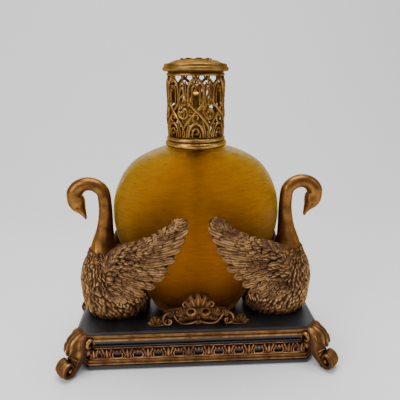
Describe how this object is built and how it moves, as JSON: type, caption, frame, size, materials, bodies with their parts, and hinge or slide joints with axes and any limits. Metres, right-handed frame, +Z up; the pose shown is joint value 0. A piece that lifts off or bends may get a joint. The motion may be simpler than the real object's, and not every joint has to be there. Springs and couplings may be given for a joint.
{
  "type": "catalytic fragrance lamp",
  "caption": "Fragrance lamp: flattened amber flask with a pierced brass crown, held between swans on a black and gilt plinth with scroll feet.",
  "frame": {"origin": "on the table under the middle of the plinth, at the bottom of the felts under the feet", "axes": "+Z up, along the flask's axis; +X along the plinth's length, to the viewer's right; +Y away from the viewer, the cartouche is on the -Y side"},
  "size_m": [0.1992, 0.0932, 0.2092],
  "materials": {
    "antique_gold_resin": "cast resin, antique gold paint rubbed over a dark brown patina",
    "black_lacquer": "satin black lacquer",
    "antique_brass": "antique brass, lightly tarnished in the hollows",
    "amber_glass": "amber glass with a fine crackle, slightly frosted",
    "burner_ceramic": "porous unglazed ceramic",
    "catalyst": "dark catalyst coat on porous ceramic",
    "cotton": "braided cotton",
    "seal_rubber": "matt rubber",
    "felt": "black felt",
    "steel": "zinc plated steel"
  },
  "bodies": {
    "stand": {"base_screws": "steel", "bottle_pad": "felt", "bottom_board": "black_lacquer", "cartouche": "antique_gold_resin", "cartouche_pins": "steel", "cove_band": "black_lacquer", "foot_back_left": "antique_gold_resin", "foot_back_right": "antique_gold_resin", "foot_felts": "felt", "foot_front_left": "antique_gold_resin", "foot_front_right": "antique_gold_resin", "foot_pins": "steel", "frieze_back": "antique_gold_resin", "frieze_front": "antique_gold_resin", "frieze_left": "antique_gold_resin", "frieze_right": "antique_gold_resin", "lower_moulding": "antique_gold_resin", "plinth_core": "black_lacquer", "swan_left": "antique_gold_resin", "swan_right": "antique_gold_resin", "swan_screws": "steel", "top_plate": "black_lacquer", "upper_moulding": "antique_gold_resin", "wing_left_back": "antique_gold_resin", "wing_left_front": "antique_gold_resin", "wing_right_back": "antique_gold_resin", "wing_right_front": "antique_gold_resin"},
    "bottle": {"glass_bottle": "amber_glass", "neck_collar": "antique_brass"},
    "burner": {"burner_mount": "antique_brass", "burner_gasket": "seal_rubber", "burner_stone": "burner_ceramic", "catalyst_core": "catalyst", "wick_sleeve": "antique_brass", "cotton_wick": "cotton"},
    "snuffer": {"snuffer_cap": "antique_brass", "snuffer_seal": "seal_rubber", "snuffer_post": "antique_brass"},
    "crown": {"crown_ring": "antique_brass", "crown_filigree": "antique_brass", "crown_lid_ring": "antique_brass", "crown_lid": "antique_brass", "crown_rosette": "antique_brass"}
  },
  "joints": [
    {"name": "bottle_lift", "type": "slide", "parent": "stand", "child": "bottle", "axis": [0, 0, 1], "range_m": [0, 0.11]},
    {"name": "burner_lift", "type": "slide", "parent": "bottle", "child": "burner", "axis": [0, 0, 1], "range_m": [0, 0.125]},
    {"name": "snuffer_lift", "type": "slide", "parent": "burner", "child": "snuffer", "axis": [0, 0, 1], "range_m": [0, 0.03]},
    {"name": "crown_lift", "type": "slide", "parent": "snuffer", "child": "crown", "axis": [0, 0, 1], "range_m": [0, 0.045]}
  ]
}
